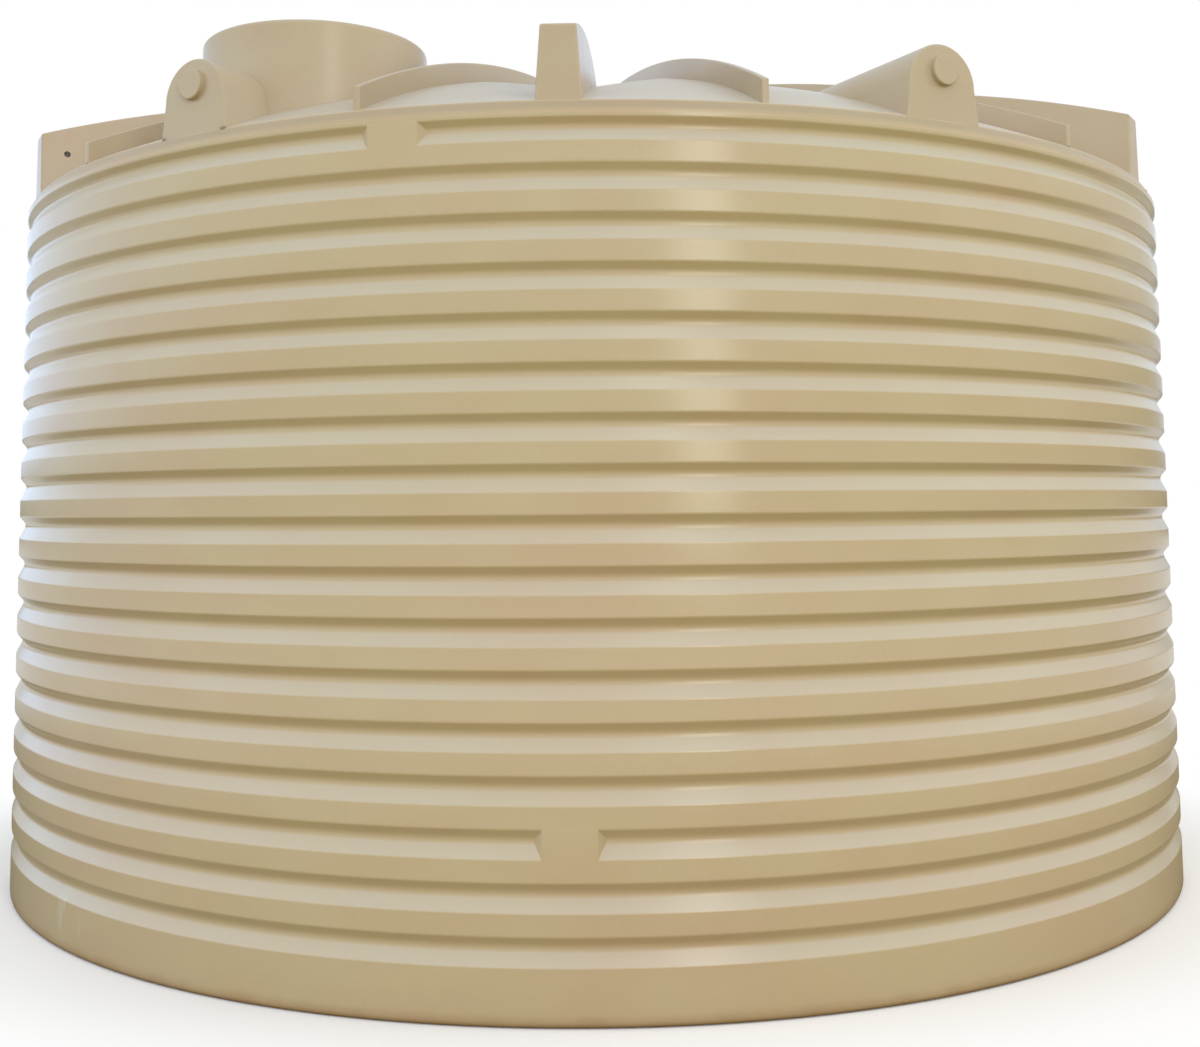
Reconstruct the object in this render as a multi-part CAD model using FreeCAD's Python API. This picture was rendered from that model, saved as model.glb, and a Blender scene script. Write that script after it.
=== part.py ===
"""Corrugated rainwater tank of moulded polyethylene, from the ground up.

Millimetres, +Z up.  The origin is the centre of the underside of the floor.
Bearings are in degrees round +Z from the front (-Y), positive towards +X.
The tank is a thin shell: a floor, a corrugated wall in segments, and a domed
roof in segments that carries lifting fins, lifting lugs, ribs and the inlet neck.
"""
import FreeCAD
import Part

import math
import os

V = FreeCAD.Vector

# Shell
tank_diameter = 3600.0          # over the corrugation crests
wall_thickness = 10.0
base_inner_radius = 20.0        # inside corner between floor and wall
wall_segment_count = 12
roof_segment_count = 6
seam_bearing = 7.5              # first seam of wall and roof, clear of everything on the roof

# Corrugations, from the bottom of the wall to its top
skirt_height = 122.0            # plain band under the lowest groove
groove_count = 17
groove_pitch = 110.0
groove_depth = 18.0
groove_shoulder_height = 36.0   # sloping face under the groove floor
groove_floor_height = 5.0
groove_brow_height = 21.0       # steep face over the groove floor

# Flat pads that interrupt a groove, for pipe fittings
pad_width = 118.0
pad_end_run = 16.0              # how far each pad end slopes into the groove
outlet_pad_groove_number = 3    # grooves are counted from the bottom, the lowest is 1
outlet_pad_bearing = 0.5
overflow_pad_groove_number = 17  # counted in the same way
overflow_pad_bearing = -12.0

# Roof, with the plain band over the highest groove
top_band_height = 33.0
rim_inset = 15.0                # how far the top band leans in, from the crests to the rim
rim_edge_radius = 6.0
dome_rise = 400.0               # from the rim to the crown

# Lifting fins: tall, narrow, running up the dome until they die into it
fin_count = 6
fin_first_bearing = 0.0
fin_height = 172.0              # over the rim, at the outer end
fin_length = 1375.0             # to the tip, which is sunk by the wall thickness into the dome
fin_crest_bulge = 68.0          # how far the top edge bows over its chord
fin_width_at_top = 82.0
fin_width_at_rim = 106.0
drilled_fin_number = 6          # fins are counted from the first bearing, which is 1
tie_hole_diameter = 18.0
tie_hole_setback = 70.0         # from the fin's outer end
tie_hole_height = 118.0         # over the rim

# Lifting lugs: level barrels with an arched outer face and a round boss
lug_count = 6
lug_first_bearing = 30.0
lug_height = 184.0
lug_crown_radius = 98.0
lug_width_at_rim = 218.0
boss_diameter = 74.0
boss_projection = 14.0
boss_height = 119.0             # boss centre over the rim
boss_edge_radius = 4.0

# Ribs between fins and lugs
rib_count = 12
rib_first_bearing = 15.0
rib_thickness = 17.0
rib_height = 57.0               # over the dome
rib_crown_radius = 300.0        # ribs stop this far from the centre of the roof

# Inlet neck, behind the lug on its bearing
neck_bearing = -30.0
neck_diameter = 582.0
neck_height = 306.0             # over the rim
neck_wall_gap = 147.0           # from the wall crests to the neck
neck_opening_diameter = 450.0
neck_edge_inner_radius = 4.0

# Derived sizes
tank_radius = tank_diameter / 2
base_radius = base_inner_radius + wall_thickness
groove_height = groove_shoulder_height + groove_floor_height + groove_brow_height
wall_top = skirt_height + (groove_count - 1) * groove_pitch + groove_height
rim_level = wall_top + top_band_height
rim_radius = tank_radius - rim_inset        # fins, lugs and ribs end flush with the rim
dome_radius = (rim_radius ** 2 + dome_rise ** 2) / (2 * dome_rise)
dome_centre = rim_level + dome_rise - dome_radius
neck_radius = neck_diameter / 2
neck_offset = tank_radius - neck_wall_gap - neck_radius
root_depth = dome_rise          # lugs, ribs and neck are drawn this far below the rim, then cut to the dome


def dome_height(radius, shell_radius=dome_radius):
    """Level of the dome at a distance from the tank's axis."""
    return dome_centre + math.sqrt(shell_radius ** 2 - radius ** 2)


def turned(shape, bearing):
    """Turn a shape drawn along +X to a bearing."""
    return shape.rotated(V(0, 0, 0), V(0, 0, 1), bearing - 90)


def closed_face(*edges):
    return Part.Face(Part.Wire(Part.__sortEdges__(list(edges))))


def line(a, b):
    return Part.LineSegment(a, b).toShape()


def arc(a, through, b):
    return Part.Arc(a, through, b).toShape()


def corner_arc(centre, radius, start, end):
    """Arc in the XZ plane about a centre, between two angles from +X towards +Z."""
    def point(angle):
        return centre + V(radius * math.cos(angle), 0, radius * math.sin(angle))
    return arc(point(start), point((start + end) / 2), point(end))


def groove_bottom(number):
    """Level of a groove's lower edge; groove 1 is the lowest."""
    return skirt_height + (number - 1) * groove_pitch


def groove_points(number, crest):
    """Corners of one groove, from its lower edge to its upper edge."""
    low = groove_bottom(number)
    floor_low = low + groove_shoulder_height
    floor_high = floor_low + groove_floor_height
    return [V(crest, 0, low), V(crest - groove_depth, 0, floor_low),
            V(crest - groove_depth, 0, floor_high), V(crest, 0, low + groove_height)]


def wall_line(crest):
    """One side of the corrugated wall, from the base corner to the top of the highest groove."""
    points = [V(crest, 0, base_radius)]
    for number in range(1, groove_count + 1):
        points += groove_points(number, crest)
    return points


def wall_section():
    """Section of the wall with its base corner, from the floor's edge to the roof's edge."""
    outer = wall_line(tank_radius)
    inner = wall_line(tank_radius - wall_thickness)
    corner = V(tank_radius - base_radius, 0, base_radius)
    foot_outer = corner - V(0, 0, base_radius)
    foot_inner = corner - V(0, 0, base_inner_radius)
    edges = [line(a, b) for side in (outer, inner) for a, b in zip(side, side[1:])]
    edges.append(corner_arc(corner, base_radius, -math.pi / 2, 0))
    edges.append(corner_arc(corner, base_inner_radius, -math.pi / 2, 0))
    edges.append(line(foot_outer, foot_inner))
    edges.append(line(outer[-1], inner[-1]))
    return closed_face(*edges)


def fitting_pad(number, bearing):
    """Filling of a groove over a pad's width, with sloping ends."""
    span = math.degrees(2 * (pad_width + 2 * pad_end_run) / tank_radius)
    corners = groove_points(number, tank_radius)
    filling = Part.Face(Part.makePolygon(corners + corners[:1]))
    filling = turned(filling, bearing - span / 2).revolve(V(0, 0, 0), V(0, 0, 1), span)
    low = groove_bottom(number) - wall_thickness
    inner = tank_radius - 2 * groove_depth
    outer = tank_radius + groove_depth
    half = pad_width / 2
    run = pad_end_run / groove_depth
    plan = [V(inner, half + run * (tank_radius - inner), low),
            V(outer, half - run * (outer - tank_radius), low),
            V(outer, run * (outer - tank_radius) - half, low),
            V(inner, -half - run * (tank_radius - inner), low)]
    block = Part.Face(Part.makePolygon(plan + plan[:1])).extrude(V(0, 0, groove_height + 2 * wall_thickness))
    return filling.common(turned(block, bearing))


def wall_segments():
    """The wall, cut at even bearings; a pad is part of the segment that it lies on."""
    pads = {outlet_pad_bearing: fitting_pad(outlet_pad_groove_number, outlet_pad_bearing),
            overflow_pad_bearing: fitting_pad(overflow_pad_groove_number, overflow_pad_bearing)}
    section = wall_section()
    span = 360 / wall_segment_count
    segments = []
    for index in range(wall_segment_count):
        start = seam_bearing + index * span
        segment = turned(section, start).revolve(V(0, 0, 0), V(0, 0, 1), span)
        for bearing, pad in pads.items():
            if (bearing - start) % 360 < span:
                segment = segment.fuse(pad).removeSplitter()
        segments.append(segment)
    return segments


def tank_floor():
    return Part.makeCylinder(tank_radius - base_radius, wall_thickness)


def roof_section():
    """Section of the roof: the leaning band over the wall, then the dome up to the crown."""
    inner_radius = dome_radius - wall_thickness
    inner_rim = rim_radius - wall_thickness
    sides = []
    for radius, foot, rim in ((dome_radius, tank_radius, rim_radius),
                              (inner_radius, tank_radius - wall_thickness, inner_rim)):
        rim_point = V(rim, 0, dome_height(rim, radius))
        half_way = V(rim / 2, 0, dome_height(rim / 2, radius))
        crown = V(0, 0, dome_height(0, radius))
        sides.append((V(foot, 0, wall_top), rim_point, half_way, crown))
    edges = []
    for foot_point, rim_point, half_way, crown in sides:
        edges.append(line(foot_point, rim_point))
        edges.append(arc(rim_point, half_way, crown))
    edges.append(line(sides[0][0], sides[1][0]))
    edges.append(line(sides[0][-1], sides[1][-1]))
    return closed_face(*edges)


def on_level(edge, level, share=0.001):
    """Whether an edge lies flat at a level, to within a share of the dome's rise."""
    slack = share * dome_rise
    return edge.BoundBox.ZMin > level - slack and edge.BoundBox.ZMax < level + slack


def roof_segments():
    """The domed roof with the inlet's hole through it, cut at even bearings."""
    section = roof_section()
    span = 360 / roof_segment_count
    hole_foot = V(neck_offset, 0, rim_level - dome_rise)
    hole = turned(Part.makeCylinder(neck_radius - wall_thickness, 2 * dome_rise, hole_foot), neck_bearing)
    segments = []
    for index in range(roof_segment_count):
        start = seam_bearing + index * span
        segment = turned(section, start).revolve(V(0, 0, 0), V(0, 0, 1), span)
        rim_edges = [edge for edge in segment.Edges if on_level(edge, rim_level)]
        segment = segment.makeFillet(rim_edge_radius, rim_edges)
        if (neck_bearing - start) % 360 < span:
            segment = segment.cut(hole)
        segments.append(segment)
    return segments


def dome_body():
    """Everything under the dome's outer surface, to seat the roof fittings on it."""
    return Part.makeSphere(dome_radius, V(0, 0, dome_centre))


def spread(count, first_bearing):
    return [first_bearing + index * 360 / count for index in range(count)]


def lifting_fin(bearing, drilled):
    """Fin with an upright outer end, a bowed top edge that dies into the dome, and flaring sides."""
    tip = rim_radius - fin_length
    outer_top = V(rim_radius, 0, rim_level + fin_height)
    inner_top = V(tip, 0, dome_height(tip) - wall_thickness)
    chord = inner_top - outer_top
    bow = V(chord.z, 0, -chord.x).normalize() * fin_crest_bulge
    crest = arc(outer_top, (outer_top + inner_top) / 2 + bow, inner_top)

    depth = fin_height + wall_thickness
    half_top = fin_width_at_top / 2
    half_foot = half_top + (fin_width_at_rim - fin_width_at_top) / 2 / fin_height * depth
    section = [V(0, half_top, 0), V(0, half_foot, -depth), V(0, -half_foot, -depth), V(0, -half_top, 0)]
    section.append(section[0])
    faces = [crest.translated(a).extrude(b - a) for a, b in zip(section, section[1:])]
    for end in (outer_top, inner_top):
        faces.append(Part.Face(Part.makePolygon([end + corner for corner in section])))
    fin = Part.Solid(Part.Shell(faces))
    if drilled:
        at = V(rim_radius - tie_hole_setback, -fin_width_at_rim, rim_level + tie_hole_height)
        fin = fin.cut(Part.makeCylinder(tie_hole_diameter / 2, 2 * fin_width_at_rim, at, V(0, 1, 0)))
    return turned(fin, bearing).cut(dome_body())


def lifting_lug(bearing, neck_body):
    """Level barrel with drafted sides and a boss, running inwards to the dome or the neck."""
    spring = rim_level + lug_height - lug_crown_radius
    root = rim_level - root_depth
    draft = (lug_width_at_rim / 2 - lug_crown_radius) / (spring - rim_level)
    half_root = lug_crown_radius + draft * (spring - root)
    x = rim_radius
    left_spring = V(x, -lug_crown_radius, spring)
    right_spring = V(x, lug_crown_radius, spring)
    face = closed_face(
        line(V(x, -half_root, root), left_spring),
        arc(left_spring, V(x, 0, rim_level + lug_height), right_spring),
        line(right_spring, V(x, half_root, root)),
        line(V(x, half_root, root), V(x, -half_root, root)))
    barrel = face.extrude(V(-tank_radius, 0, 0))
    boss = Part.makeCylinder(boss_diameter / 2, boss_projection, V(x, 0, rim_level + boss_height), V(1, 0, 0))
    rim_edge = [edge for edge in boss.Edges if edge.Closed and edge.BoundBox.XMin > x + boss_projection / 2]
    boss = boss.makeFillet(boss_edge_radius, rim_edge)
    lug = barrel.cut(dome_far_half())
    lug = turned(lug, bearing).cut(dome_body()).cut(neck_body)
    return lug.fuse(turned(boss, bearing)).removeSplitter()


def dome_far_half():
    """The side of the tank's axis away from a fitting drawn along +X."""
    size = 2 * tank_diameter
    return Part.makeBox(size, size, size, V(-size, -size / 2, -size / 2))


def roof_rib(bearing):
    """Upright rib of even height that follows the dome from the rim towards the crown."""
    root = rim_level - root_depth
    outer_top, middle_top, inner_top = [
        V(radius, 0, dome_height(radius) + rib_height)
        for radius in (rim_radius, (rim_radius + rib_crown_radius) / 2, rib_crown_radius)]
    side = closed_face(
        line(V(rim_radius, 0, root), outer_top),
        arc(outer_top, middle_top, inner_top),
        line(inner_top, V(rib_crown_radius, 0, root)),
        line(V(rib_crown_radius, 0, root), V(rim_radius, 0, root)))
    blank = side.extrude(V(0, rib_thickness, 0)).translated(V(0, -rib_thickness / 2, 0))
    return turned(blank, bearing).cut(dome_body())


def inlet_neck():
    """Upright collar cut to the dome, with a flat top that is open in the middle."""
    top = rim_level + neck_height
    edge_radius = neck_edge_inner_radius + wall_thickness
    inner = neck_radius - wall_thickness
    opening = neck_opening_diameter / 2
    root = rim_level - root_depth
    corner = V(neck_radius - edge_radius, 0, top - edge_radius)
    section = closed_face(
        line(V(neck_radius, 0, root), V(neck_radius, 0, top - edge_radius)),
        corner_arc(corner, edge_radius, 0, math.pi / 2),
        line(V(neck_radius - edge_radius, 0, top), V(opening, 0, top)),
        line(V(opening, 0, top), V(opening, 0, top - wall_thickness)),
        line(V(opening, 0, top - wall_thickness), V(neck_radius - edge_radius, 0, top - wall_thickness)),
        corner_arc(corner, neck_edge_inner_radius, 0, math.pi / 2),
        line(V(inner, 0, top - edge_radius), V(inner, 0, root)),
        line(V(inner, 0, root), V(neck_radius, 0, root)))
    collar = section.revolve(V(0, 0, 0), V(0, 0, 1), 360).translated(V(neck_offset, 0, 0))
    return turned(collar, neck_bearing).cut(dome_body())


def neck_outline():
    """The column that the neck fills, so that the lug on its bearing stops at its wall."""
    column = Part.makeCylinder(neck_radius, 4 * dome_rise, V(neck_offset, 0, rim_level - 2 * dome_rise))
    return turned(column, neck_bearing)


def build():
    parts = {"tank_floor": tank_floor(), "inlet_neck": inlet_neck()}
    for index, segment in enumerate(wall_segments(), 1):
        parts[f"wall_segment_{index:02d}"] = segment
    for index, segment in enumerate(roof_segments(), 1):
        parts[f"roof_segment_{index}"] = segment
    for index, bearing in enumerate(spread(fin_count, fin_first_bearing), 1):
        parts[f"lifting_fin_{index}"] = lifting_fin(bearing, index == drilled_fin_number)
    column = neck_outline()
    for index, bearing in enumerate(spread(lug_count, lug_first_bearing), 1):
        parts[f"lifting_lug_{index}"] = lifting_lug(bearing, column)
    for index, bearing in enumerate(spread(rib_count, rib_first_bearing), 1):
        parts[f"roof_rib_{index:02d}"] = roof_rib(bearing)
    return parts


os.makedirs("parts", exist_ok=True)
for name, shape in build().items():
    solids = shape.Solids
    piece = solids[0] if len(solids) == 1 else Part.makeCompound(solids)
    piece.exportStep(f"parts/{name}.step")
    volume = piece.Volume / 1e9
    print(f"{name}: {len(solids)} solid, {len(piece.Faces)} faces, {volume:.5f} m3, valid {piece.isValid()}")
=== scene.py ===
"""Looks of a corrugated rainwater tank of moulded polyethylene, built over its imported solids.

Metres, +Z up, in the frame of the solids.  Bearings are in degrees round +Z from the front (-Y),
positive towards +X.  Each operator models one piece, or one group of like pieces.
"""

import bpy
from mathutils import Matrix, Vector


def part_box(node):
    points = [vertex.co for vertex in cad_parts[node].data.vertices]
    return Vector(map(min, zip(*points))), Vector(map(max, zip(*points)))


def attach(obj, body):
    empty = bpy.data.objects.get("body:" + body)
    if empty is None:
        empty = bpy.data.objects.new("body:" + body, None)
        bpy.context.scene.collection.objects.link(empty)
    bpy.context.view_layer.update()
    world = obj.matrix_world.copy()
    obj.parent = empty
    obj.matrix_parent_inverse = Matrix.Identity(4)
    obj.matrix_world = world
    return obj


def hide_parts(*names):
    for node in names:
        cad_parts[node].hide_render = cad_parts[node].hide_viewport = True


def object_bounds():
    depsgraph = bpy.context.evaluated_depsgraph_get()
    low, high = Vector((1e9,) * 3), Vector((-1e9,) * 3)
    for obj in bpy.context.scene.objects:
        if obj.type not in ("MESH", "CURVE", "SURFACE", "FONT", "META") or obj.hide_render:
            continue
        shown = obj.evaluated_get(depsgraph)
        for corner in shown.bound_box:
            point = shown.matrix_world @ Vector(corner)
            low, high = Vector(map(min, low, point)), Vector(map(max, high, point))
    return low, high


bl_info = {
    "name": "Rainwater Tank",
    "version": (1, 0, 0),
    "blender": (4, 5, 0),
    "location": "View3D > Sidebar > Tank",
    "description": "Models a moulded rainwater tank with its roof fittings, finish and stage",
    "category": "Object",
}

import math

import bpy
import numpy as np
from bpy.props import FloatProperty, FloatVectorProperty, IntProperty, PointerProperty
from mathutils import Matrix, Vector

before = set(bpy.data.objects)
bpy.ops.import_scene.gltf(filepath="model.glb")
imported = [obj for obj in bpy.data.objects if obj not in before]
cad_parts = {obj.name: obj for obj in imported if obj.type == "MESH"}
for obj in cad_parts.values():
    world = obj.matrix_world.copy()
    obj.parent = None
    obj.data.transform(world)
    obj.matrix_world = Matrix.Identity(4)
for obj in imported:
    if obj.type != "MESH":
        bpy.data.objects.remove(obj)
cad_low, cad_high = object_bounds()
neck_low, neck_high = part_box("inlet_neck")
neck_place = (neck_low + neck_high) / 2
neck_radius = (neck_high.x - neck_low.x) / 2

BODY = "root"

# Ends of edges this near to a plane lie on it; vertices nearer than MERGE are one.
TOUCH = 0.0001
MERGE = 0.00001

# A rounded corner gets a step for so much of its radius, and takes at most this share of a side.
ROUNDING_STEP = 0.003
ROUNDING_SHARE = 0.45

# Faces round or along each shape.
LATHE_STEPS = 216
DOME_RINGS = 32
FIN_STATIONS = 32
RIB_STATIONS = 56
NECK_STEPS = 96
LUG_STEPS = 72
BOSS_STEPS = 48
TIE_HOLE_STEPS = 24

# Where shadow is painted at the feet of fittings: a bearing, and how far across it along the rim.
SHADOWED_FEET = ((-30.0, -0.104), (-30.0, 0.104), (-45.0, 0.0), (45.0, 0.0))
SCUFF_PLACE = (-1.245, -1.300, 0.090)

# Sky from below the horizon to straight up, and the two bluish parts of it: the side they lie on,
# the soft edges of that side, of their foot and of their top, and how strong they are.
SKY_RISE = (-0.25, 1.0)
SKY_STOPS = (
    (0.0, (0.24, 0.20, 0.07)),
    (0.19, (0.34, 0.30, 0.20)),
    (0.225, (0.70, 0.72, 0.72)),
    (0.28, (0.86, 0.88, 0.90)),
    (1.0, (0.82, 0.86, 0.90)),
)
SKY_STRENGTH = 0.9
BLUE_SKY = (1.25, 1.52, 2.00)
BLUE_SKY_PATCHES = (
    ((-0.55, 0.835, 0.0), (0.15, 0.85), (-0.01, 0.06), (0.20, 0.38), 1.0),
    ((0.0, 1.0, 0.0), (0.84, 0.94), (0.10, 0.25), (0.36, 0.46), 0.9),
)

FLOOR_DROP = 0.001

# The camera, where the photograph was taken from: metres, degrees and a lens in millimetres.
CAMERA_DISTANCE = 4.9364
CAMERA_HEIGHT = 1.0825
CAMERA_BEARING = 2.35
CAMERA_YAW = -0.252
CAMERA_PITCH = 5.157
CAMERA_ROLL = 0.481
CAMERA_LENS = 43.77
CAMERA_SHIFT = -0.1245

# Name, place, target, width and height, watts, tint, and whether the plastic mirrors it.
LAMPS = (
    ("Front softbox", (0.4, -10.0, 2.6), (0.1, 0.0, 1.0), (10.0, 4.5), 205, (1.0, 0.98, 0.95), False),
    ("Right softbox", (7.0, -1.2, 4.6), (0.6, -0.6, 1.5), (4.0, 4.0), 135, (0.94, 0.97, 1.0), False),
    ("Left softbox", (-6.6, -3.2, 3.3), (-1.2, -0.9, 1.0), (4.0, 4.0), 128, (0.64, 0.77, 1.0), False),
    ("Strip softbox", (2.5, -7.15, 2.8), (0.3, -1.7, 1.4), (1.1, 3.9), 60, (1.0, 0.96, 0.90), True),
    ("High softbox", (1.5, -5.2, 6.2), (0.3, -1.7, 1.4), (1.3, 2.4), 15, (1.0, 0.99, 0.96), True),
)


def property_maker(kind, **settings):
    """A function that declares a property of one kind from its name, description and default."""
    def declare(name, description, default):
        return kind(name=name, description=description, default=default, **settings)
    return declare


length = property_maker(FloatProperty, unit="LENGTH", precision=4)
degrees = property_maker(FloatProperty, precision=3)
count = property_maker(IntProperty, min=1)
share = property_maker(FloatProperty, subtype="FACTOR", min=0, max=1)
colour = property_maker(FloatVectorProperty, subtype="COLOR", size=3, min=0, max=1)


class TankShape(bpy.types.PropertyGroup):
    """Sizes of the tank's shell and of what stands on its roof."""
    crest_radius: length("Crest radius", "Over the corrugation crests", (cad_high.x - cad_low.x) / 2)
    wall_thickness: length("Wall thickness", "Thickness of the moulded shell", 0.010)
    base_corner: length("Base corner", "Rounded foot of the wall", 0.030)
    wall_top: length("Wall top", "Where the wall ends and the roof starts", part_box("wall_segment_01")[1].z)

    groove_count: count("Grooves", "Grooves up the wall", 17)
    skirt_height: length("Skirt height", "Plain band under the lowest groove", 0.122)
    groove_pitch: length("Groove pitch", "From one groove to the next", 0.110)
    groove_depth: length("Groove depth", "Depth below the crests", 0.018)
    groove_shoulder: length("Groove shoulder", "Sloping face under a groove's floor", 0.036)
    groove_floor: length("Groove floor", "Height of a groove's floor", 0.005)
    groove_brow: length("Groove brow", "Steep face over a groove's floor", 0.021)
    crest_rounding: length("Crest rounding", "At the edges of the crests", 0.010)
    floor_rounding: length("Floor rounding", "At the bottom of a groove", 0.020)

    pad_width: length("Pad width", "Of a flush pad for a pipe fitting", 0.118)
    pad_end_run: length("Pad end run", "How far a pad's end slopes into its groove", 0.016)
    outlet_pad_groove: count("Outlet pad groove", "Counted from below", 3)
    outlet_pad_bearing: degrees("Outlet pad bearing", "From the front", 0.5)
    overflow_pad_groove: count("Overflow pad groove", "Counted from below", 17)
    overflow_pad_bearing: degrees("Overflow pad bearing", "From the front", -12.0)

    top_band_height: length("Top band height", "Leaning band over the highest groove", 0.033)
    rim_inset: length("Rim inset", "How far the top band leans in", 0.015)
    rim_rounding: length("Rim rounding", "At the rim's edge", 0.006)
    rim_lip: length("Rim lip", "Upright strip over and under the joint", 0.008)
    band_rounding: length("Band rounding", "Where the band starts to lean", 0.014)
    dome_rise: length("Dome rise", "From the rim to the crown", 0.400)
    trough_depth: length("Trough depth", "Dip of the dome along a fin", 0.036)
    trough_half_angle: degrees("Trough half angle", "From a fin to the edge of its trough", 11.5)
    sink: length("Sink", "Of the fittings into the roof", 0.003)

    fin_count: count("Fins", "Lifting fins round the roof", 6)
    fin_height: length("Fin height", "Over the rim, at the outer end", 0.172)
    fin_length: length("Fin length", "To the tip, sunk into the dome", 1.375)
    fin_crest_bulge: length("Fin crest bulge", "Of the top edge, over its chord", 0.068)
    fin_width_at_top: length("Fin width at top", "Across the top edge", 0.082)
    fin_width_at_rim: length("Fin width at rim", "Across the foot of the outer end", 0.106)
    fin_edge_rounding: length("Fin edge rounding", "At a fin's edges", 0.005)
    drilled_fin: count("Drilled fin", "Fin with a tie hole, the last one", 6)
    tie_hole_diameter: length("Tie hole diameter", "Hole for a tie-down", 0.018)
    tie_hole_setback: length("Tie hole setback", "From the fin's outer end", 0.070)
    tie_hole_height: length("Tie hole height", "Over the rim", 0.118)

    lug_count: count("Lugs", "Lifting lugs round the roof", 6)
    lug_first_bearing: degrees("First lug bearing", "From the front", 30.0)
    lug_height: length("Lug height", "Over the rim", 0.184)
    lug_crown_radius: length("Lug crown radius", "Radius of the arched top", 0.098)
    lug_width_at_rim: length("Lug width at rim", "Across the foot of the outer face", 0.218)
    lug_edge_rounding: length("Lug edge rounding", "At the outer face's edge", 0.006)
    boss_diameter: length("Boss diameter", "Round boss on the outer face", 0.074)
    boss_projection: length("Boss projection", "Out of the face", 0.014)
    boss_height: length("Boss height", "Centre over the rim", 0.119)
    boss_edge_rounding: length("Boss edge rounding", "At the boss's edge", 0.004)

    rib_count: count("Ribs", "Ribs round the roof", 12)
    rib_first_bearing: degrees("First rib bearing", "From the front", 15.0)
    rib_thickness: length("Rib thickness", "Across a rib", 0.017)
    rib_height: length("Rib height", "Over the dome", 0.057)
    rib_crown_radius: length("Rib crown radius", "Ribs stop this far from the centre", 0.300)
    rib_edge_rounding: length("Rib edge rounding", "At a rib's edges", 0.004)

    neck_opening_diameter: length("Neck opening", "Opening in the neck's top", 0.450)
    neck_edge_rounding: length("Neck edge rounding", "At the neck's top edge", 0.014)


class TankFinish(bpy.types.PropertyGroup):
    """Colours of the plastic, of what lies on it, and of the light and shade painted on it."""
    plastic: colour("Plastic", "Cream polyethylene", (0.578, 0.462, 0.295))
    plastic_pale: colour("Pale plastic", "Paler blotches in the moulding", (0.590, 0.490, 0.312))
    plastic_warm: colour("Warm plastic", "Warmer blotches in the moulding", (0.584, 0.446, 0.292))
    # Partly chalk, partly painted sky light: a paler colour on faces that look up.
    bloom_and_sky_light: colour("Bloom", "Chalk on faces that look at the sky", (0.580, 0.577, 0.540))
    bleach: colour("Bleach", "Change of tone towards the top of the wall", (0.960, 1.000, 1.000))
    soil: colour("Soil", "Dirt along the foot of the wall", (0.340, 0.190, 0.085))
    # Painted shadow: dark spots where the fittings' feet meet the rim.
    painted_foot_shadow: colour("Stain", "Grime where fittings meet the rim", (0.150, 0.115, 0.075))
    scuff: colour("Scuff", "Rubbed places low on the wall", (0.720, 0.690, 0.600))
    # Painted shade: a darker, cooler tint over everything on the roof, for the dimmer light there.
    fitting_painted_shade: colour("Fitting tone", "Duller tone of what stands on the roof", (0.890, 0.905, 0.970))
    # Painted shade: darkens the upward-leaning band so it shows no more sky light than the wall.
    band_painted_shade: colour("Rim tone", "Duller tone of the leaning band", (0.760, 0.755, 0.760))
    wall_roughness: share("Wall roughness", "Of the wall's plastic", 0.20)
    roof_roughness: share("Roof roughness", "Of the roof's plastic", 0.30)
    fitting_roughness: share("Fitting roughness", "Of what stands on the roof", 0.31)
    # Amounts of chalk and painted sky light on faces that look up.
    wall_bloom_and_sky_light: share("Wall bloom", "On the grooves' shoulders", 0.55)
    roof_bloom_and_sky_light: share("Roof bloom", "On the roof", 0.57)
    fitting_bloom_and_sky_light: share("Fitting bloom", "On what stands on the roof", 0.30)
    soil_height: length("Soil height", "How high the dirt reaches", 0.034)


class TankStage(bpy.types.PropertyGroup):
    """Size and colours of the floor."""
    floor_size: length("Floor size", "Side of the floor", 80.0)
    floor_pale: colour("Pale floor", "Floor as it shows", (1.00, 0.98, 0.95))
    floor_bounce: colour("Floor bounce", "Floor as it lights the tank from below", (0.29, 0.225, 0.035))
    floor_mirror: colour("Floor mirrored", "Floor as the plastic mirrors it", (0.25, 0.21, 0.12))


def shape_of():
    return bpy.context.scene.tank_shape


def finish_of():
    return bpy.context.scene.tank_finish


def rim_radius(shape):
    return shape.crest_radius - shape.rim_inset


def rim_level(shape):
    return shape.wall_top + shape.top_band_height


def rim_place(shape, bearing, across):
    """Place on the rim at a bearing, and some way across it towards higher bearings."""
    turn = math.radians(bearing)
    radius = rim_radius(shape)
    x = radius * math.sin(turn) + across * math.cos(turn)
    y = across * math.sin(turn) - radius * math.cos(turn)
    return Vector((x, y, rim_level(shape)))


def dome_radius(shape):
    return (rim_radius(shape) ** 2 + shape.dome_rise ** 2) / (2 * shape.dome_rise)


def dome_level(shape, radius, inset=0.0):
    """Level of the dome at a distance from the axis, on the outside or inset below it."""
    centre = rim_level(shape) + shape.dome_rise - dome_radius(shape)
    return centre + math.sqrt((dome_radius(shape) - inset) ** 2 - radius ** 2)


def set_mode(mode):
    bpy.ops.object.mode_set(mode=mode)


def select_mesh():
    bpy.ops.mesh.select_all(action="SELECT")


def clear_selection():
    if bpy.context.object and bpy.context.object.mode != "OBJECT":
        set_mode("OBJECT")
    bpy.ops.object.select_all(action="DESELECT")


def only(obj):
    """Leave one object selected and active, in object mode."""
    clear_selection()
    obj.select_set(True)
    bpy.context.view_layer.objects.active = obj


def apply_place(obj):
    """Put an object's place, turn and scale into its mesh."""
    only(obj)
    bpy.ops.object.transform_apply(location=True, rotation=True, scale=True)


def turn_upright(obj, angle):
    """Turn an object about the tank's axis, in its mesh."""
    obj.rotation_euler.z = math.radians(angle)
    apply_place(obj)


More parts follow.
